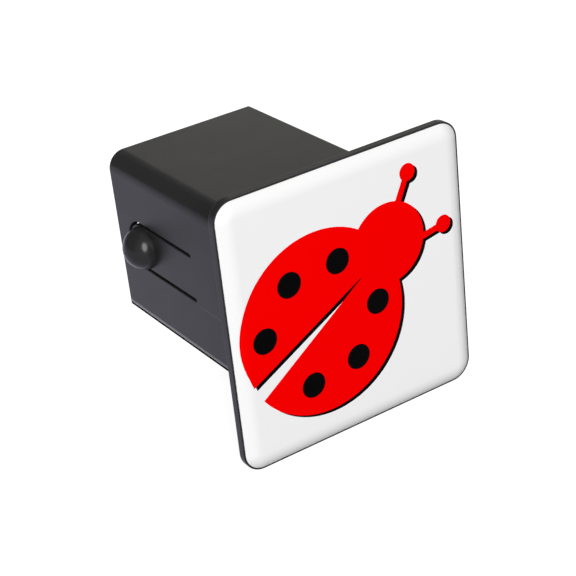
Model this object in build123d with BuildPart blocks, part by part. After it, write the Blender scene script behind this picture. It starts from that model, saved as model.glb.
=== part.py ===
from build123d import *
import os
from math import asin, degrees, radians, sqrt, tan

# Cover for the mouth of a 2 in hitch receiver tube: a moulded plug with a hollow square
# shank and two snap buttons, and a printed panel on its flange.
# Frame: the origin is on the shank's axis, in the plane of the flange's back, which stops
# against the tube's mouth. +Y runs into the tube, the panel looks towards -Y, +Z is up.
# All sizes are in millimetres and degrees.

# Flange
flange_width = 76.6
flange_height = 79.0
flange_thickness = 2.4
flange_corner_radius = 5.9
flange_edge_radius = 0.4

# Receiver tube that it closes: square bore, and the pin holes through its side walls
tube_inside = 50.8
pin_hole_diameter = 15.9
pin_hole_y = 64.7

# Shank, a sliding fit in the tube, with draft towards its open rear end
shank_clearance = 0.2
shank_beyond_buttons = 15.3
shank_draft_angle = 0.14
shank_wall = 2.4
shank_edge_radius = 1.5
shank_soft_edge_radius = 5.2
shank_rear_chamfer = 0.5
hollow_edge_radius = 1.0

# Spring tongues in the side walls, each freed by a slot that is open to the hollow; their
# length runs from the root to the button's axis, behind which the round end is centred
tongue_length = 27.2
tongue_overhang = 1.3
tongue_rim = 0.1
slot_width = 0.8
slot_chamfer = 0.25

# Snap buttons on the tongues' free ends, which click into the pin holes
button_clearance = 1.5
button_collar = 0.45
button_dome_height = 5.9
button_wall = 1.8

# White panel, a little smaller than the flange, with a crowned margin
panel_ledge = 0.55
panel_thickness = 1.6
panel_side_height = 0.15
panel_margin = 4.2

# Print: a ladybird that climbs to the upper right, in flush fields of colour.
# Places are (x, z) on the panel as it is seen from the front.
print_depth = 0.5
wing_case_radius = 25.3
upper_wing_case = (-10.7, -2.0)
lower_wing_case = (-9.9, -4.6)
wing_notch_point = (4.4, 6.1)
wing_notch_angles = (207.8, 214.9)
head_radius = 11.8
head = (12.3, 11.7)
feeler_width = 1.9
feeler_roots = [(16.4, 22.4), (23.0, 9.8)]
knob_radius = 2.5
knobs = [(20.1, 29.8), (30.8, 11.2)]
shadow_offset = (0.9, -0.9)

# Spots: each lies at an angle round its wing case's centre, inside the case's rim by an inset
spot_radius = 3.67
upper_spots = [(65.7, 9.3), (123.5, 9.4), (179.0, 7.5)]
lower_spots = [(3.0, 7.9), (-53.6, 9.1), (-109.0, 8.7)]

# How far a cutting body runs past what it cuts
cut_over = 2.0

shank_size = tube_inside - 2 * shank_clearance
shank_length = pin_hole_y + shank_beyond_buttons
button_radius = pin_hole_diameter / 2 - button_clearance


def drafted_block(size, soft_edge_radius, edge_radius):
    """Square block from the flange's back to the rear, narrower there, with one softer edge."""
    upper_left = Axis((0, 0, 0), (-1, 0, 1))
    near_parallel = 2 * shank_draft_angle
    with BuildPart() as block:
        with BuildSketch(Plane.XZ):
            Rectangle(size, size)
        extrude(amount=-shank_length)
        draft(block.faces().filter_by(Axis.Y, reverse=True), Plane.XZ, -shank_draft_angle)
        long_edges = block.edges().filter_by(Axis.Y, tolerance=near_parallel)
        fillet(long_edges.sort_by(upper_left)[-1], soft_edge_radius)
        long_edges = block.edges().filter_by(Axis.Y, tolerance=near_parallel)
        fillet(long_edges.sort_by(upper_left)[:3], edge_radius)
    return block.part


def domed_pin(radius, dome_radius, start):
    """Pin along X on the right-hand button's axis, from start outwards to its spherical end."""
    axis_y = pin_hole_y
    side_y = pin_hole_y + radius
    rim = button_dome_centre + sqrt(dome_radius**2 - radius**2)
    tip = button_dome_centre + dome_radius
    with BuildPart() as pin:
        with BuildSketch(Plane.XY):
            with BuildLine():
                Polyline((tip, axis_y), (start, axis_y), (start, side_y), (rim, side_y))
                CenterArc((button_dome_centre, axis_y), dome_radius, 0, degrees(asin(radius / dome_radius)))
            make_face()
        revolve(axis=Axis((0, axis_y, 0), (1, 0, 0)))
    return pin.part


# Blank and core of the shank
shank_blank = drafted_block(shank_size, shank_soft_edge_radius, shank_edge_radius)
hollow_soft_edge_radius = shank_soft_edge_radius - shank_wall
hollow = drafted_block(shank_size - 2 * shank_wall, hollow_soft_edge_radius, hollow_edge_radius)

# Button and its core, which share the centre of the dome
button_seat = shank_size / 2 - pin_hole_y * tan(radians(shank_draft_angle))
button_dome_radius = (button_radius**2 + button_dome_height**2) / (2 * button_dome_height)
button_dome_centre = button_seat + button_collar + button_dome_height - button_dome_radius
button = domed_pin(button_radius, button_dome_radius, button_seat - shank_wall / 2)
button_core = domed_pin(
    button_radius - button_wall, button_dome_radius - button_wall, button_seat - shank_wall - cut_over
)

# One black moulding: flange, shank, tongues and buttons
slot_track = button_radius + tongue_rim + slot_width / 2
tongue_root_y = pin_hole_y - tongue_length
tongue_end_y = pin_hole_y + tongue_overhang
with BuildPart() as receiver_plug:
    with BuildSketch(Plane.XZ):
        RectangleRounded(flange_width, flange_height, flange_corner_radius)
    extrude(amount=flange_thickness)
    fillet(receiver_plug.faces().sort_by(Axis.Y)[-1].edges(), flange_edge_radius)
    add(shank_blank)
    chamfer(receiver_plug.faces().sort_by(Axis.Y)[-1].edges(), shank_rear_chamfer)
    add(hollow, mode=Mode.SUBTRACT)

    # The slot runs along one side of the tongue, round its free end and back
    with BuildSketch(Plane.YZ):
        with BuildLine():
            Line((tongue_root_y, slot_track), (tongue_end_y, slot_track))
            CenterArc((tongue_end_y, 0), slot_track, start_angle=90, arc_size=-180)
            Line((tongue_end_y, -slot_track), (tongue_root_y, -slot_track))
        trace(line_width=slot_width)
        with Locations((tongue_root_y, slot_track), (tongue_root_y, -slot_track)):
            Circle(slot_width / 2)
    extrude(amount=shank_size, both=True, mode=Mode.SUBTRACT)
    mid_wall = shank_size / 2 - shank_wall / 2
    rims = receiver_plug.edges(Select.LAST).filter_by(lambda edge: abs(edge.center().X) > mid_wall)
    chamfer(rims, slot_chamfer)

    # A button on each side, cored from inside
    add(button)
    mirror(button, about=Plane.YZ)
    add(button_core, mode=Mode.SUBTRACT)
    mirror(button_core, about=Plane.YZ, mode=Mode.SUBTRACT)
receiver_plug.part.label = "receiver_plug"

# Panel before it is printed: its margin is a wide fillet, trimmed to the panel's outline
panel_width = flange_width - 2 * panel_ledge
panel_height = flange_height - 2 * panel_ledge
panel_corner_radius = flange_corner_radius - panel_ledge
panel_drop = panel_thickness - panel_side_height
crown_radius = (panel_margin**2 + panel_drop**2) / (2 * panel_drop)
trim = crown_radius - panel_margin
with BuildPart() as panel_blank:
    with BuildSketch(Plane.XZ.offset(flange_thickness + panel_thickness)):
        RectangleRounded(panel_width + 2 * trim, panel_height + 2 * trim, panel_corner_radius + trim)
    extrude(amount=-crown_radius - cut_over)
    fillet(panel_blank.faces().sort_by(Axis.Y)[0].edges(), crown_radius)
    with BuildSketch(Plane.XZ.offset(flange_thickness)):
        RectangleRounded(panel_width, panel_height, panel_corner_radius)
    extrude(amount=panel_thickness + cut_over, mode=Mode.INTERSECT)

# Fields of the print, drawn ahead of the panel
print_plane = Plane.XZ.offset(flange_thickness + panel_thickness + cut_over)
print_reach = -cut_over - print_depth
with BuildSketch(print_plane) as ladybird:
    with Locations(upper_wing_case, lower_wing_case):
        Circle(wing_case_radius)
    with BuildLine():
        upper_side = PolarLine(wing_notch_point, 2 * wing_case_radius, wing_notch_angles[0])
        lower_side = PolarLine(wing_notch_point, 2 * wing_case_radius, wing_notch_angles[1])
        Line(upper_side @ 1, lower_side @ 1)
    make_face(mode=Mode.SUBTRACT)
    with Locations(head):
        Circle(head_radius)
    for root, knob in zip(feeler_roots, knobs):
        with BuildLine():
            Line(root, knob)
        trace(line_width=feeler_width)
    with Locations(*knobs):
        Circle(knob_radius)

with BuildSketch(print_plane) as spots:
    for wing_case, places in ((upper_wing_case, upper_spots), (lower_wing_case, lower_spots)):
        for angle, inset in places:
            with Locations(wing_case):
                with PolarLocations(wing_case_radius - inset, 1, start_angle=angle):
                    Circle(spot_radius)

with BuildSketch(print_plane) as red_field:
    add(ladybird.sketch_local)
    add(spots.sketch_local, mode=Mode.SUBTRACT)

with BuildSketch(print_plane) as black_field:
    with Locations(shadow_offset):
        add(ladybird.sketch_local)
    add(ladybird.sketch_local, mode=Mode.SUBTRACT)
    add(spots.sketch_local)

# The panel carries the print in shallow recesses, flush with its front
with BuildPart() as print_red:
    add(panel_blank.part)
    extrude(red_field.sketch, amount=print_reach, mode=Mode.INTERSECT)
print_red.part.label = "print_red"

with BuildPart() as print_black:
    add(panel_blank.part)
    extrude(black_field.sketch, amount=print_reach, mode=Mode.INTERSECT)
print_black.part.label = "print_black"

with BuildPart() as face_panel:
    add(panel_blank.part)
    add([print_red.part, print_black.part], mode=Mode.SUBTRACT)
face_panel.part.label = "face_panel"

os.makedirs("parts", exist_ok=True)
export_step(receiver_plug.part, "parts/receiver_plug.step")
export_step(face_panel.part, "parts/face_panel.step")
export_step(print_red.part, "parts/print_red.step")
export_step(print_black.part, "parts/print_black.step")
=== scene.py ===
"""Finishes and studio for a hitch receiver cover: a black moulded plug with snap buttons
behind a white panel that is printed with a red ladybird.

Everything is in metres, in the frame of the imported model: the origin is on the shank's axis
in the plane of the flange's back, +Y runs into the receiver tube and +Z is up.
"""

import math

import bpy
import numpy as np
from mathutils import Matrix, Vector


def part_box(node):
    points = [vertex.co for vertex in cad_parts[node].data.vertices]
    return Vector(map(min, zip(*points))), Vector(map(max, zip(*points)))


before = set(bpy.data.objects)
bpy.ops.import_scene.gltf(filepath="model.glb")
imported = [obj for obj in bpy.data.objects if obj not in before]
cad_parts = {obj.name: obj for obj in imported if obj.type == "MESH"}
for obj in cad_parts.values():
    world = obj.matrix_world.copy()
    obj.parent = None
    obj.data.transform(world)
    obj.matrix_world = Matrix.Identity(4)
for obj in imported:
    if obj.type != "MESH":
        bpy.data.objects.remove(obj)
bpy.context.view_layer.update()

bl_info = {
    "name": "Hitch Receiver Cover",
    "version": (1, 0, 0),
    "blender": (4, 5, 0),
    "location": "3D View > Sidebar > Cover",
    "description": "Finishes the plug, the panel and its print, and sets up the studio",
    "category": "Object",
}

MILLIMETRE = 0.001
WHITE = (1.0, 1.0, 1.0, 1.0)
BLACK = (0.0, 0.0, 0.0, 1.0)

# Width over which a mask fades at a sharp border of a finish
SOFT = 0.1 * MILLIMETRE

plug_low, plug_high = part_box("receiver_plug")


class Signal:
    """A node socket that does arithmetic: an expression on signals adds its Math nodes."""

    def __init__(self, shader, socket):
        self.shader = shader
        self.socket = socket

    def _math(self, operation, *values, clamp=False):
        settings = {"operation": operation, "use_clamp": clamp}
        return self.shader.node("ShaderNodeMath", settings, dict(enumerate(values)))[0]

    def __add__(self, other):
        return self._math("ADD", self, other)

    def __radd__(self, other):
        return self._math("ADD", other, self)

    def __sub__(self, other):
        return self._math("SUBTRACT", self, other)

    def __rsub__(self, other):
        return self._math("SUBTRACT", other, self)

    def __mul__(self, other):
        return self._math("MULTIPLY", self, other)

    def __rmul__(self, other):
        return self._math("MULTIPLY", other, self)

    def __pow__(self, other):
        return self._math("POWER", self, other)

    def __abs__(self):
        return self._math("ABSOLUTE", self)

    def larger(self, other):
        """The larger of two signals."""
        return self._math("MAXIMUM", self, other)

    def smaller(self, other):
        """The smaller of two signals."""
        return self._math("MINIMUM", self, other)

    def rises(self, low, high):
        """0 below low, 1 above high, and a straight ramp between them."""
        return self._math("MULTIPLY_ADD", self, 1 / (high - low), -low / (high - low), clamp=True)

    def falls(self, low, high):
        """1 below low, 0 above high, and a straight ramp between them."""
        return self._math("MULTIPLY_ADD", self, -1 / (high - low), high / (high - low), clamp=True)


class Shader:
    """The node tree of one material or world, with a short way to add and link nodes."""

    def __init__(self, owner):
        owner.use_nodes = True
        self.tree = owner.node_tree
        self.tree.nodes.clear()

    def node(self, kind, settings=None, inputs=None):
        """Adds a node: its settings first, then the values or links of its sockets."""
        made = self.tree.nodes.new(kind)
        for name, value in (settings or {}).items():
            setattr(made, name, value)
        for name, value in (inputs or {}).items():
            if isinstance(value, Signal):
                self.tree.links.new(value.socket, made.inputs[name])
            else:
                made.inputs[name].default_value = value
        return [Signal(self, socket) for socket in made.outputs if socket.enabled]

    def place(self):
        """Object coordinates, in metres."""
        outputs = self.node("ShaderNodeTexCoord")
        return next(signal for signal in outputs if signal.socket.name == "Object")

    def axes(self, vector):
        """The x, y and z of a vector."""
        return self.node("ShaderNodeSeparateXYZ", None, {0: vector})

    def noise(self, vector, feature_size, detail=2.0, roughness=0.5):
        """Noise from 0 to 1 whose blotches are about feature_size metres across."""
        inputs = {"Vector": vector, "Scale": 1 / feature_size, "Detail": detail, "Roughness": roughness}
        return self.node("ShaderNodeTexNoise", None, inputs)[0]

    def blend(self, factor, first, second):
        """A colour that goes from first to second with the factor."""
        # The Mix node keeps its two colours in sockets 6 and 7
        inputs = {"Factor": factor, 6: first, 7: second}
        return self.node("ShaderNodeMix", {"data_type": "RGBA"}, inputs)[0]

    def bump(self, height, depth, normal=None):
        """A normal for a relief of height 0 to 1, depth metres deep, laid over another normal."""
        inputs = {"Strength": 1.0, "Distance": depth, "Height": height}
        if normal is not None:
            inputs["Normal"] = normal
        return self.node("ShaderNodeBump", None, inputs)[0]

    def rays(self):
        """1 for camera rays, and 1 for mirrored or transmitted rays."""
        path = {signal.socket.name: signal for signal in self.node("ShaderNodeLightPath")}
        return path["Is Camera Ray"], path["Is Glossy Ray"].larger(path["Is Transmission Ray"])

    def principled(self, inputs):
        """A Principled surface."""
        return self.node("ShaderNodeBsdfPrincipled", None, inputs)[0]

    def matt(self, colour):
        """A surface without gloss."""
        return self.node("ShaderNodeBsdfDiffuse", None, {"Color": colour})[0]

    def glow(self, colour, strength):
        """A surface that shines evenly by itself."""
        return self.node("ShaderNodeEmission", None, {"Color": colour, "Strength": strength})[0]

    def mix(self, factor, first, second):
        """A surface that goes from first to second with the factor."""
        return self.node("ShaderNodeMixShader", None, {0: factor, 1: first, 2: second})[0]

    def output(self, surface, kind="ShaderNodeOutputMaterial"):
        """Makes a surface the one that shows."""
        self.node(kind, None, {"Surface": surface})


def new_material(name):
    """An empty material and its shader."""
    material = bpy.data.materials.new(name)
    return material, Shader(material)


def coat_node(node, material):
    """Gives a CAD node's object one material in all of its slots."""
    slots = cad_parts[node].material_slots
    if not slots:
        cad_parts[node].data.materials.append(material)
    for slot in slots:
        slot.material = material


def opaque(colour, share=1.0):
    """A colour, or a share of it, with full alpha, as node sockets take it."""
    return (*(share * value for value in colour), 1.0)


class PlasticSettings(bpy.types.PropertyGroup):
    """Finish of the black plug, and the sizes that place it"""

    colour: bpy.props.FloatVectorProperty(
        name="Colour",
        description="Colour of the black plastic",
        default=(0.019, 0.019, 0.0195),
        subtype="COLOR",
        min=0.0,
        max=1.0,
    )
    gloss: bpy.props.FloatProperty(
        name="Gloss",
        description="Specular level of the black plastic",
        default=0.19,
        subtype="FACTOR",
        min=0.0,
        max=1.0,
    )
    roughness: bpy.props.FloatProperty(
        name="Roughness",
        description="Roughness of the grained faces",
        default=0.33,
        subtype="FACTOR",
        min=0.0,
        max=1.0,
    )
    button_roughness: bpy.props.FloatProperty(
        name="Button roughness",
        description="Roughness of the smoother snap buttons",
        default=0.2,
        subtype="FACTOR",
        min=0.0,
        max=1.0,
    )
    core_roughness: bpy.props.FloatProperty(
        name="Core roughness",
        description="How much rougher the faces inside the shank and the slots are",
        default=0.35,
        subtype="FACTOR",
        min=0.0,
        max=1.0,
    )
    mottle_size: bpy.props.FloatProperty(
        name="Mottle size",
        description="Width of the large blotches in colour and roughness",
        default=14 * MILLIMETRE,
        precision=4,
        unit="LENGTH",
    )
    speck_size: bpy.props.FloatProperty(
        name="Speck size",
        description="Width of the small blotches in colour",
        default=1.6 * MILLIMETRE,
        precision=4,
        unit="LENGTH",
    )
    mottle_contrast: bpy.props.FloatProperty(
        name="Mottle contrast",
        description="How far the blotches' colour and roughness lie from the middle",
        default=0.12,
        subtype="FACTOR",
        min=0.0,
        max=1.0,
    )
    grain_size: bpy.props.FloatProperty(
        name="Grain size",
        description="Width of one grain of the moulded texture",
        default=0.35 * MILLIMETRE,
        precision=5,
        unit="LENGTH",
    )
    grain_contrast: bpy.props.FloatProperty(
        name="Grain contrast",
        description="How far the roughness varies between the grains",
        default=0.1,
        subtype="FACTOR",
        min=0.0,
        max=1.0,
    )
    grain_depth: bpy.props.FloatProperty(
        name="Grain depth",
        description="Depth of the moulded texture",
        default=0.022 * MILLIMETRE,
        precision=6,
        unit="LENGTH",
    )
    wave_size: bpy.props.FloatProperty(
        name="Wave size",
        description="Width of the gentle waves in the moulded faces",
        default=9 * MILLIMETRE,
        precision=4,
        unit="LENGTH",
    )
    wave_share: bpy.props.FloatProperty(
        name="Wave share",
        description="Depth of the gentle waves, as a multiple of the grain's depth",
        default=1.5,
        min=0.0,
    )
    shank_size: bpy.props.FloatProperty(
        name="Shank size",
        description="Width of the square shank at the flange",
        default=50.4 * MILLIMETRE,
        precision=4,
        unit="LENGTH",
    )
    shank_draft: bpy.props.FloatProperty(
        name="Shank draft",
        description="Angle by which each side of the shank leans inwards towards its rear end",
        default=math.radians(0.14),
        subtype="ANGLE",
    )
    shank_wall: bpy.props.FloatProperty(
        name="Shank wall",
        description="Thickness of the shank's walls",
        default=2.4 * MILLIMETRE,
        precision=4,
        unit="LENGTH",
    )
    button_place: bpy.props.FloatProperty(
        name="Button place",
        description="Distance of the snap buttons behind the flange's back",
        default=64.7 * MILLIMETRE,
        precision=4,
        unit="LENGTH",
    )
    button_radius: bpy.props.FloatProperty(
        name="Button radius",
        description="Radius of the smooth snap buttons",
        default=6.45 * MILLIMETRE,
        precision=5,
        unit="LENGTH",
    )
    slot_reach: bpy.props.FloatProperty(
        name="Slot reach",
        description="Distance from the middle of the side wall that just takes in the slots",
        default=7.55 * MILLIMETRE,
        precision=5,
        unit="LENGTH",
    )
    slot_start: bpy.props.FloatProperty(
        name="Slot start",
        description="Distance behind the flange's back at which the slots' finish starts",
        default=30 * MILLIMETRE,
        precision=4,
        unit="LENGTH",
    )
    # Painted shade: the share of the plastic's colour that the slots' sides keep, darkened to stand for the
    # shade inside the slots.
    painted_shade_share: bpy.props.FloatProperty(
        name="Slot shade",
        description="Share of the plastic's colour that the slots' dark sides keep",
        default=0.1,
        subtype="FACTOR",
        min=0.0,
        max=1.0,
    )
    # Painted shadow: a matt black band along the left wall's lower edge, standing for the edge's dark
    # reflection of the shadowed floor below the shank.
    painted_shadow_band: bpy.props.FloatProperty(
        name="Black band",
        description="Height of the matt black band along the left wall's lower edge",
        default=1.6 * MILLIMETRE,
        precision=5,
        unit="LENGTH",
    )
    # Painted highlight: a light grey line above the black band, standing for the edge's bright reflection
    # of the floor.
    painted_highlight_line: bpy.props.FloatProperty(
        name="Rubbed line",
        description="Height of the upper side of the rubbed line above the black band",
        default=2.35 * MILLIMETRE,
        precision=5,
        unit="LENGTH",
    )
    painted_highlight_colour: bpy.props.FloatVectorProperty(
        name="Rubbed colour",
        description="Colour of the rubbed line",
        default=(0.5, 0.5, 0.5),
        subtype="COLOR",
        min=0.0,
        max=1.0,
    )
    # The surface falls away along the painted highlight line above.
    edge_drop: bpy.props.FloatProperty(
        name="Edge drop",
        description="How far the left wall's surface seems to fall away at the rubbed line",
        default=0.4 * MILLIMETRE,
        precision=5,
        unit="LENGTH",
    )
    mark_height: bpy.props.FloatProperty(
        name="Mark height",
        description="Height of the faint mark between the left wall's lower slot and the flange",
        default=-8.2 * MILLIMETRE,
        precision=5,
        unit="LENGTH",
    )
    mark_colour: bpy.props.FloatVectorProperty(
        name="Mark colour",
        description="Colour of the faint mark",
        default=(0.06, 0.06, 0.06),
        subtype="COLOR",
        min=0.0,
        max=1.0,
    )


class PanelSettings(bpy.types.PropertyGroup):
    """Finish of the white panel"""

    colour: bpy.props.FloatVectorProperty(
        name="Colour",
        description="Colour of the white panel",
        default=(0.92, 0.92, 0.92),
        subtype="COLOR",
        min=0.0,
        max=1.0,
    )
    gloss: bpy.props.FloatProperty(
        name="Gloss",
        description="Specular level of the panel",
        default=0.35,
        subtype="FACTOR",
        min=0.0,
        max=1.0,
    )
    roughness: bpy.props.FloatProperty(
        name="Roughness",
        description="Roughness of the panel's gloss",
        default=0.3,
        subtype="FACTOR",
        min=0.0,
        max=1.0,
    )
    haze_size: bpy.props.FloatProperty(
        name="Haze size",
        description="Width of the blotches in the gloss",
        default=9 * MILLIMETRE,
        precision=4,
        unit="LENGTH",
    )
    haze: bpy.props.FloatProperty(
        name="Haze",
        description="How far the roughness varies between the blotches",
        default=0.1,
        subtype="FACTOR",
        min=0.0,
        max=1.0,
    )
    ripple_size: bpy.props.FloatProperty(
        name="Ripple size",
        description="Width of the gentle ripples in the gloss",
        default=2.5 * MILLIMETRE,
        precision=5,
        unit="LENGTH",
    )
    ripple_depth: bpy.props.FloatProperty(
        name="Ripple depth",
        description="Depth of the gentle ripples in the gloss",
        default=0.004 * MILLIMETRE,
        precision=6,
        unit="LENGTH",
    )


class PrintSettings(bpy.types.PropertyGroup):
    """Finish of the printed figure"""

    red: bpy.props.FloatVectorProperty(
        name="Red",
        description="Colour of the ladybird",
        default=(0.96, 0.0, 0.0),
        subtype="COLOR",
        min=0.0,
        max=1.0,
    )
    black: bpy.props.FloatVectorProperty(
        name="Black",
        description="Colour of the spots and the shadow line",
        default=(0.001, 0.001, 0.001),
        subtype="COLOR",
        min=0.0,
        max=1.0,
    )
    gloss: bpy.props.FloatProperty(
        name="Gloss",
        description="Specular level of the printed ink",
        default=0.02,
        subtype="FACTOR",
        min=0.0,
        max=1.0,
    )
    roughness: bpy.props.FloatProperty(
        name="Roughness",
        description="Roughness of the printed ink",
        default=0.45,
        subtype="FACTOR",
        min=0.0,
        max=1.0,
    )
    haze_size: bpy.props.FloatProperty(
        name="Haze size",
        description="Width of the blotches in the ink's gloss",
        default=6 * MILLIMETRE,
        precision=4,
        unit="LENGTH",
    )
    haze: bpy.props.FloatProperty(
        name="Haze",
        description="How far the roughness varies between the blotches",
        default=0.1,
        subtype="FACTOR",
        min=0.0,
        max=1.0,
    )
    tooth_size: bpy.props.FloatProperty(
        name="Tooth size",
        description="Width of the ink's fine tooth",
        default=0.3 * MILLIMETRE,
        precision=5,
        unit="LENGTH",
    )
    tooth_depth: bpy.props.FloatProperty(
        name="Tooth depth",
        description="Depth of the ink's fine tooth",
        default=0.002 * MILLIMETRE,
        precision=6,
        unit="LENGTH",
    )


class StudioSettings(bpy.types.PropertyGroup):
    """Camera, lamps, floor and what the object mirrors"""

    camera_place: bpy.props.FloatVectorProperty(
        name="Camera",
        description="Place of the camera",
        default=(-0.20935, -0.31809, 0.20078),
        subtype="TRANSLATION",
        unit="LENGTH",
    )
    heading: bpy.props.FloatProperty(
        name="Heading",
        description="Direction in which the camera looks, from +Y towards +X",
        default=math.radians(31.095),
        subtype="ANGLE",
    )
    downward: bpy.props.FloatProperty(
        name="Downward tilt",
        description="Angle by which the camera looks down",
        default=math.radians(27.399),
        subtype="ANGLE",
    )
    roll: bpy.props.FloatProperty(
        name="Roll",
        description="Turn of the camera about its line of sight",
        default=math.radians(-6.552),
        subtype="ANGLE",
    )
    lens: bpy.props.FloatProperty(
        name="Lens",
        description="Focal length on a sensor 36 mm wide",
        default=101.255,
        min=1.0,
        unit="CAMERA",
    )
    key_power: bpy.props.FloatProperty(
        name="Key lamp",
        description="Power of the large lamp at the front left",
        default=107.0,
        min=0.0,
        unit="POWER",
    )
    key_place: bpy.props.FloatVectorProperty(
        name="Key direction",
        description="Direction of the large lamp from the object",
        default=(-0.42, -0.80, 0.43),
        subtype="DIRECTION",
    )
    fill_power: bpy.props.FloatProperty(
        name="Fill lamp",
        description="Power of the large lamp behind the object",
        default=110.0,
        min=0.0,
        unit="POWER",
    )
    fill_place: bpy.props.FloatVectorProperty(
        name="Fill direction",
        description="Direction of the lamp behind the object",
        default=(0.35, 0.9, 0.25),
        subtype="DIRECTION",
    )
    lamp_width: bpy.props.FloatProperty(
        name="Lamp width",
        description="Width of each oval lamp",
        default=1.3,
        unit="LENGTH",
    )
    lamp_height: bpy.props.FloatProperty(
        name="Lamp height",
        description="Height of each oval lamp",
        default=2.5,
        unit="LENGTH",
    )
    lamp_distance: bpy.props.FloatProperty(
        name="Lamp distance",
        description="Distance of each lamp from the object",
        default=3.0,
        unit="LENGTH",
    )
    floor_size: bpy.props.FloatProperty(
        name="Floor size",
        description="Width of the round floor",
        default=6.0,
        unit="LENGTH",
    )
    floor_bounce: bpy.props.FloatProperty(
        name="Floor bounce",
        description="Share of the light that the floor throws back onto the object",
        default=0.06,
        subtype="FACTOR",
        min=0.0,
        max=1.0,
    )
    floor_glow: bpy.props.FloatProperty(
        name="Floor glow",
        description="Brightness of the white floor in the deepest shadow",
        default=0.84,
        min=0.0,
    )
    floor_shade: bpy.props.FloatProperty(
        name="Floor shade",
        description="How strongly the lamps and the object's shadow show on the white floor",
        default=0.4,
        subtype="FACTOR",
        min=0.0,
        max=1.0,
    )
    floor_tint: bpy.props.FloatVectorProperty(
        name="Floor tint",
        description="Colour of the floor as the object sees it",
        default=(0.851, 0.833, 1.0),
        subtype="COLOR",
        min=0.0,
        max=1.0,
    )
    surround: bpy.props.FloatProperty(
        name="Surround",
        description="Brightness of the room round the object",
        default=0.05,
        min=0.0,
    )
    surround_tint: bpy.props.FloatVectorProperty(
        name="Surround tint",
        description="Colour of the room as the object sees it",
        default=(1.0, 0.97, 0.88),
        subtype="COLOR",
        min=0.0,
        max=1.0,
    )
    mirror_surround: bpy.props.FloatProperty(
        name="Mirrored surround",
        description="Brightness of the room in reflections",
        default=0.65,
        min=0.0,
    )
    mirror_glow: bpy.props.FloatProperty(
        name="Mirrored glow",
        description="Brightness of the floor's shadows in reflections",
        default=0.5,
        min=0.0,
    )
    mirror_shade: bpy.props.FloatProperty(
        name="Mirrored shade",
        description="How strongly lamps and shadows show on the floor in reflections",
        default=0.6,
        subtype="FACTOR",
        min=0.0,
        max=1.0,
    )
    card_glow: bpy.props.FloatProperty(
        name="Card brightness",
        description="Brightness of the dark card behind the object at the left",
        default=0.22,
        min=0.0,
    )
    card_distance: bpy.props.FloatProperty(
        name="Card distance",
        description="Distance of the dark card from the object",
        default=1.6,
        unit="LENGTH",
    )
    card_left: bpy.props.FloatProperty(
        name="Card's left end",
        description="Heading of the dark card's left end, from +Y towards +X",
        default=math.radians(-100),
        subtype="ANGLE",
    )
    card_right: bpy.props.FloatProperty(
        name="Card's right end",
        description="Heading of the dark card's right end, from +Y towards +X",
        default=math.radians(22),
        subtype="ANGLE",
    )
    card_top: bpy.props.FloatProperty(
        name="Card's top",
        description="Elevation of the dark card's top",
        default=math.radians(75),
        subtype="ANGLE",
    )
    board_glow: bpy.props.FloatProperty(
        name="Board brightness",
        description="Brightness of the dark board in front of the object and at its right",
        default=0.22,
        min=0.0,
    )
    board_front: bpy.props.FloatProperty(
        name="Board's front",
        description="Width of the dark board in front of the object",
        default=8 * MILLIMETRE,
        precision=4,
        unit="LENGTH",
    )
    board_right: bpy.props.FloatProperty(
        name="Board's right",
        description="Width of the dark board at the object's right",
        default=600 * MILLIMETRE,
        unit="LENGTH",
    )
    # Painted shadow: the dark sheet below the shank stands in reflections for the shank's contact shadow on
    # the floor.
    contact_shadow_glow: bpy.props.FloatProperty(
        name="Underside brightness",
        description="Brightness of the dark board below the shank",
        default=0.01,
        min=0.0,
    )
    under_low: bpy.props.FloatVectorProperty(
        name="Underside's front left",
        description="Front left corner of the dark board below the shank",
        default=(-18 * MILLIMETRE, 0.0),
        size=2,
        subtype="XYZ",
        unit="LENGTH",
    )
    under_high: bpy.props.FloatVectorProperty(
        name="Underside's rear right",
        description="Rear right corner of the dark board below the shank",
        default=(38 * MILLIMETRE, 105 * MILLIMETRE),
        size=2,
        subtype="XYZ",
        unit="LENGTH",
    )
    board_lift: bpy.props.FloatProperty(
        name="Board lift",
        description="How far the boards lie above the floor",
        default=0.02 * MILLIMETRE,
        precision=6,
        unit="LENGTH",
    )


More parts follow.
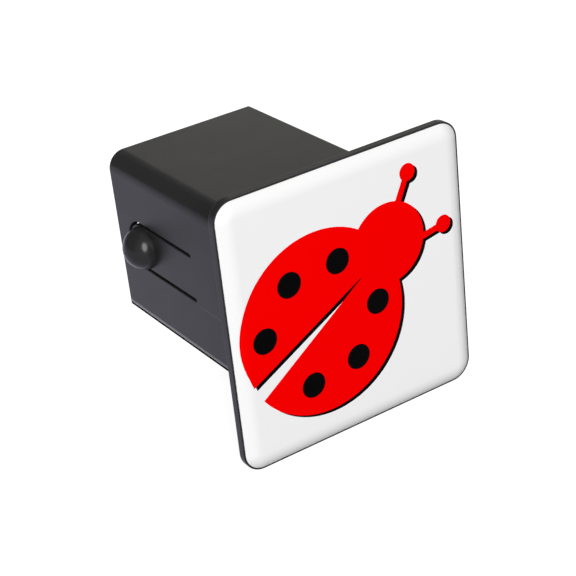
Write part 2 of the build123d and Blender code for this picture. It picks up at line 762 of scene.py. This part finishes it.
class COVER_OT_plug(bpy.types.Operator):
    """Give the plug its moulded black plastic, grained on the walls and smooth on the buttons"""

    bl_idname = "cover.plug"
    bl_label = "Finish Plug"

    def execute(self, context):
        plastic = context.scene.cover_plastic
        material, shader = new_material("moulded_black_plastic")
        place = shader.place()
        x, y, z = shader.axes(place)
        slope = math.tan(plastic.shank_draft)
        half_width = plastic.shank_size / 2 - plastic.slot_start * slope
        # How far inside the side walls' outer faces a point lies, and inside those of all four
        side_depth = half_width - abs(x)
        depth = side_depth.smaller(half_width - abs(z))
        height = z + plastic.shank_size / 2 - y * slope
        behind_flange = y.rises(0.0, SOFT)
        left_wall = behind_flange * (half_width + x).falls(0.6 * MILLIMETRE, 0.9 * MILLIMETRE)

        button = self.button(plastic, y, z, side_depth)
        painted_slot_shade = self.painted_slot_shade(plastic, y, z, depth)
        painted_shadow_band, painted_highlight, edge_fall = self.lower_edge(plastic, height, left_wall)
        mark = self.mark(plastic, y, z, left_wall)
        core_side = behind_flange * depth.rises(0.4 * MILLIMETRE, 0.6 * MILLIMETRE)

        grain = shader.noise(place, plastic.grain_size, detail=3.0, roughness=0.6)
        wave = shader.noise(place, plastic.wave_size, detail=1.0)
        mottle = shader.noise(place, plastic.mottle_size, detail=3.0)
        speck = shader.noise(place, plastic.speck_size, detail=2.0)

        dark = opaque(plastic.colour, 1 - plastic.mottle_contrast)
        light = opaque(plastic.colour, 1 + plastic.mottle_contrast)
        colour = shader.blend(mottle * 0.6 + speck * 0.4, dark, light)
        # Painted shade: the slots' sides are darkened to stand for the shade inside them.
        colour = shader.blend(painted_slot_shade, colour, opaque(plastic.colour, plastic.painted_shade_share))
        # Painted highlight: a light grey line along the left wall's lower edge.
        colour = shader.blend(painted_highlight, colour, opaque(plastic.painted_highlight_colour))
        colour = shader.blend(mark, colour, opaque(plastic.mark_colour))

        wall_roughness = plastic.roughness + (mottle - 0.5) * plastic.mottle_contrast
        wall_roughness = wall_roughness + (grain - 0.5) * plastic.grain_contrast
        wall_roughness = wall_roughness + core_side * plastic.core_roughness
        roughness = wall_roughness * (1 - button) + plastic.button_roughness * button

        relief = (grain + wave * plastic.wave_share) * (1 - button)
        grained = shader.bump(relief, plastic.grain_depth)
        moulded = shader.principled(
            {
                "Base Color": colour,
                "Roughness": roughness,
                "Specular IOR Level": plastic.gloss,
                "Normal": shader.bump(1 - edge_fall, plastic.edge_drop, grained),
            }
        )
        # Painted shadow: the band along the left wall's lower edge is a matt black surface.
        shader.output(shader.mix(painted_shadow_band, moulded, shader.matt(BLACK)))
        coat_node("receiver_plug", material)
        return {"FINISHED"}

    def button(self, plastic, y, z, side_depth):
        """1 on the snap buttons, outside the side walls."""
        off_axis = ((y - plastic.button_place) ** 2.0 + z ** 2.0) ** 0.5
        near_axis = off_axis.falls(plastic.button_radius, plastic.button_radius + SOFT)
        return near_axis * side_depth.falls(0.15 * MILLIMETRE, 0.6 * MILLIMETRE)

    def painted_slot_shade(self, plastic, y, z, depth):
        """Mask of the painted shade on the slots' sides: 1 from below their chamfered rims to the wall's
        inner face.
        """
        rim = 0.2 * MILLIMETRE
        inner_face = plastic.shank_wall - 0.3 * MILLIMETRE
        within_wall = depth.rises(rim, rim + SOFT) * depth.falls(inner_face, inner_face + SOFT)
        up_to_slot = abs(z).falls(plastic.slot_reach, plastic.slot_reach + SOFT)
        return within_wall * up_to_slot * y.rises(plastic.slot_start, plastic.slot_start + MILLIMETRE)

    def lower_edge(self, plastic, height, left_wall):
        """The painted shadow band, the painted highlight line above it, and the fall of the surface at
        that line, which goes from 0 above the line to 1 below it, all by the height above the
        shank's underside."""
        painted_shadow_band = height.falls(plastic.painted_shadow_band, plastic.painted_shadow_band + 0.2 * MILLIMETRE)
        painted_highlight = height.falls(plastic.painted_highlight_line, plastic.painted_highlight_line + 0.4 * MILLIMETRE)
        fall = height.falls(plastic.painted_shadow_band + 0.15 * MILLIMETRE, plastic.painted_highlight_line + 0.25 * MILLIMETRE)
        return painted_shadow_band * left_wall, painted_highlight * left_wall, fall * left_wall

    def mark(self, plastic, y, z, left_wall):
        """1 on the faint mark, which runs level and fades towards the flange and the slot."""
        line = abs(z - plastic.mark_height).falls(0.1 * MILLIMETRE, 0.3 * MILLIMETRE)
        from_flange = y.rises(0.0, 8 * MILLIMETRE)
        to_slot = y.falls(34 * MILLIMETRE, 37 * MILLIMETRE)
        return line * from_flange * to_slot * left_wall


class COVER_OT_panel(bpy.types.Operator):
    """Give the panel its glossy white, with gentle ripples"""

    bl_idname = "cover.panel"
    bl_label = "Finish Panel"

    def execute(self, context):
        panel = context.scene.cover_panel
        material, shader = new_material("glossy_white_panel")
        place = shader.place()
        ripple = shader.noise(place, panel.ripple_size, detail=1.0)
        blotches = shader.noise(place, panel.haze_size, detail=3.0)
        surface = shader.principled(
            {
                "Base Color": opaque(panel.colour),
                "Roughness": panel.roughness + (blotches - 0.5) * panel.haze,
                "Specular IOR Level": panel.gloss,
                "Normal": shader.bump(ripple, panel.ripple_depth),
            }
        )
        shader.output(surface)
        coat_node("face_panel", material)
        return {"FINISHED"}


class COVER_OT_print(bpy.types.Operator):
    """Give the two fields of the print their inks"""

    bl_idname = "cover.print"
    bl_label = "Finish Print"

    def execute(self, context):
        prints = context.scene.cover_print
        for node, name, colour in (
            ("print_red", "red_ink", prints.red),
            ("print_black", "black_ink", prints.black),
        ):
            material, shader = new_material(name)
            place = shader.place()
            blotches = shader.noise(place, prints.haze_size, detail=3.0)
            tooth = shader.noise(place, prints.tooth_size, detail=2.0)
            surface = shader.principled(
                {
                    "Base Color": opaque(colour),
                    "Roughness": prints.roughness + (blotches - 0.5) * prints.haze,
                    "Specular IOR Level": prints.gloss,
                    "Normal": shader.bump(tooth, prints.tooth_depth),
                }
            )
            shader.output(surface)
            coat_node(node, material)
        return {"FINISHED"}


class COVER_OT_studio(bpy.types.Operator):
    """Set up the pale floor, the white surround, the lamps and the camera"""

    bl_idname = "cover.studio"
    bl_label = "Set Up Studio"

    def execute(self, context):
        scene = context.scene
        studio = scene.cover_studio
        self.make_floor(scene, studio)
        self.make_surround(scene, studio)
        self.make_dark_card(scene, studio)
        self.make_dark_board(scene, studio)
        self.make_painted_contact_shadow(scene, studio)
        self.make_lamp(scene, studio, "key_lamp", studio.key_place, studio.key_power)
        fill = self.make_lamp(scene, studio, "back_fill_lamp", studio.fill_place, studio.fill_power)
        fill.visible_glossy = False
        self.make_camera(scene, studio)
        scene.view_settings.view_transform = "Standard"
        return {"FINISHED"}

    def make_floor(self, scene, studio):
        """A round floor at the flange's lower edge: a fan of triangles from its middle to points
        at equal angles on a circle. It looks white to the camera, and dimmer to the object."""
        spokes = 96
        angles = np.linspace(0, 2 * np.pi, spokes, endpoint=False)
        circle = np.column_stack([np.cos(angles), np.sin(angles), np.zeros(spokes)])
        points = np.vstack([np.zeros((1, 3)), circle * studio.floor_size / 2]) + [0, 0, plug_low.z]
        rim = np.arange(1, spokes + 1)
        faces = np.column_stack([np.zeros(spokes, int), rim, np.roll(rim, -1)])
        material, shader = new_material("pale_floor")
        camera, mirrored = shader.rays()
        lighting = self.lit_floor(shader, studio.floor_bounce, 0.0, studio.floor_tint)
        seen = self.lit_floor(shader, studio.floor_shade, studio.floor_glow, WHITE[:3])
        mirror = self.lit_floor(shader, studio.mirror_shade, studio.mirror_glow, studio.floor_tint)
        shader.output(shader.mix(camera, shader.mix(mirrored, lighting, mirror), seen))
        floor = self.make_sheet(scene, "floor", points, faces, material)

    def lit_floor(self, shader, shade, glow, tint):
        """A floor of which a share follows the lamps and shadows, and the rest glows evenly."""
        lit = shader.matt(opaque(tint, shade))
        if glow == 0:
            return lit
        return shader.node("ShaderNodeAddShader", None, {0: lit, 1: shader.glow(opaque(tint), glow)})[0]

    def make_dark_card(self, scene, studio):
        """A dark card behind the object at the left: a patch of a sphere round the object, with
        its points at (sin a cos e, cos a cos e, sin e) times the radius for heading a and
        elevation e."""
        columns, rows = 49, 25
        headings = np.linspace(studio.card_left, studio.card_right, columns)
        elevations = np.linspace(0, studio.card_top, rows)
        a, e = np.meshgrid(headings, elevations)
        points = np.stack([np.sin(a) * np.cos(e), np.cos(a) * np.cos(e), np.sin(e)], axis=-1)
        self.add_mirrored(scene, "dark_card", points * studio.card_distance, studio.card_glow)

    def make_dark_board(self, scene, studio):
        """A dark board on the floor: a strip along the front and the right side of the plug's
        outline, whose far edge is that outline moved out, a little at the front and far at
        the right."""
        height = plug_low.z + studio.board_lift
        corners = [(plug_low.x, plug_low.y), (plug_high.x, plug_low.y), (plug_high.x, plug_high.y)]
        near = np.array([(x, y, height) for x, y in corners])
        front, right = studio.board_front, studio.board_right
        far = near + np.array([(0, -front, 0), (right, -front, 0), (right, 0, 0)])
        self.add_mirrored(scene, "dark_board", np.stack([near, far]), studio.board_glow)

    def make_painted_contact_shadow(self, scene, studio):
        """Painted shadow: a dark sheet on the floor below the shank, which only reflections see, a
        rectangle where the shank's contact shadow lies.
        """
        left, front = studio.under_low
        right, rear = studio.under_high
        x, y = np.meshgrid([left, right], [front, rear])
        points = np.stack([x, y, np.full_like(x, plug_low.z + studio.board_lift)], axis=-1)
        self.add_mirrored(scene, "painted_contact_shadow", points, studio.contact_shadow_glow)

    def add_mirrored(self, scene, name, points, glow):
        """A dim sheet through a grid of points, which only reflections see."""
        index = np.arange(points[..., 0].size).reshape(points.shape[:2])
        corners = [index[:-1, :-1], index[:-1, 1:], index[1:, 1:], index[1:, :-1]]
        faces = np.stack(corners, axis=-1).reshape(-1, 4)
        material, shader = new_material(name + "_cloth")
        shader.output(shader.glow(WHITE, glow))
        sheet = self.make_sheet(scene, name, points.reshape(-1, 3), faces, material)
        for kind in ("camera", "diffuse", "transmission", "shadow"):
            setattr(sheet, "visible_" + kind, False)

    def make_sheet(self, scene, name, points, faces, material):
        """An object with one mesh of points and faces and one material."""
        mesh = bpy.data.meshes.new(name)
        mesh.from_pydata(points.tolist(), [], faces.tolist())
        mesh.materials.append(material)
        sheet = bpy.data.objects.new(name, mesh)
        scene.collection.objects.link(sheet)
        return sheet

    def make_surround(self, scene, studio):
        """White where the camera sees it, dimmer in reflections and where it lights the object."""
        world = bpy.data.worlds.new("surround")
        scene.world = world
        shader = Shader(world)
        camera, mirrored = shader.rays()
        unseen = studio.surround + mirrored * (studio.mirror_surround - studio.surround)
        colour = shader.blend(camera, opaque(studio.surround_tint), WHITE)
        inputs = {"Color": colour, "Strength": unseen.larger(camera)}
        background = shader.node("ShaderNodeBackground", None, inputs)[0]
        shader.output(background, "ShaderNodeOutputWorld")

    def make_lamp(self, scene, studio, name, direction, power):
        """A large upright oval lamp in a direction from the object, turned towards it."""
        light = bpy.data.lights.new(name, "AREA")
        light.shape = "ELLIPSE"
        light.size = studio.lamp_width
        light.size_y = studio.lamp_height
        light.energy = power
        lamp = bpy.data.objects.new(name, light)
        scene.collection.objects.link(lamp)
        towards = Vector(direction).normalized()
        middle = (plug_low + plug_high) / 2
        turn = towards.to_track_quat("Z", "Y").to_matrix().to_4x4()
        lamp.matrix_world = Matrix.Translation(middle + towards * studio.lamp_distance) @ turn
        return lamp

    def make_camera(self, scene, studio):
        """The camera, placed by its heading, downward tilt and roll."""
        camera = bpy.data.objects.new("camera", bpy.data.cameras.new("camera"))
        scene.collection.objects.link(camera)
        camera.data.lens = studio.lens
        camera.data.clip_start = 0.01
        camera.data.clip_end = 100.0
        turn = Matrix.Rotation(-studio.heading, 4, "Z")
        tilt = Matrix.Rotation(math.pi / 2 - studio.downward, 4, "X")
        roll = Matrix.Rotation(studio.roll, 4, "Z")
        camera.matrix_world = Matrix.Translation(studio.camera_place) @ turn @ tilt @ roll
        scene.camera = camera


class COVER_PT_sidebar(bpy.types.Panel):
    """Lists the steps and their settings"""

    bl_label = "Hitch Receiver Cover"
    bl_idname = "COVER_PT_sidebar"
    bl_space_type = "VIEW_3D"
    bl_region_type = "UI"
    bl_category = "Cover"

    def draw(self, context):
        for operator, settings in STEPS:
            box = self.layout.box()
            group = getattr(context.scene, settings)
            for name in group.__annotations__:
                box.prop(group, name)
            box.operator(operator.bl_idname)


STEPS = (
    (COVER_OT_plug, "cover_plastic"),
    (COVER_OT_panel, "cover_panel"),
    (COVER_OT_print, "cover_print"),
    (COVER_OT_studio, "cover_studio"),
)
SETTINGS = {
    "cover_plastic": PlasticSettings,
    "cover_panel": PanelSettings,
    "cover_print": PrintSettings,
    "cover_studio": StudioSettings,
}
CLASSES = (*SETTINGS.values(), *(operator for operator, _ in STEPS), COVER_PT_sidebar)


def register():
    """Registers the classes and gives the scene their settings."""
    for cls in CLASSES:
        bpy.utils.register_class(cls)
    for name, group in SETTINGS.items():
        setattr(bpy.types.Scene, name, bpy.props.PointerProperty(type=group))


def unregister():
    """Takes the settings and the classes away again."""
    for name in SETTINGS:
        delattr(bpy.types.Scene, name)
    for cls in reversed(CLASSES):
        bpy.utils.unregister_class(cls)


def main():
    """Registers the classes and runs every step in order."""
    register()
    bpy.ops.cover.plug()
    bpy.ops.cover.panel()
    bpy.ops.cover.print()
    bpy.ops.cover.studio()


if __name__ == "__main__":
    main()
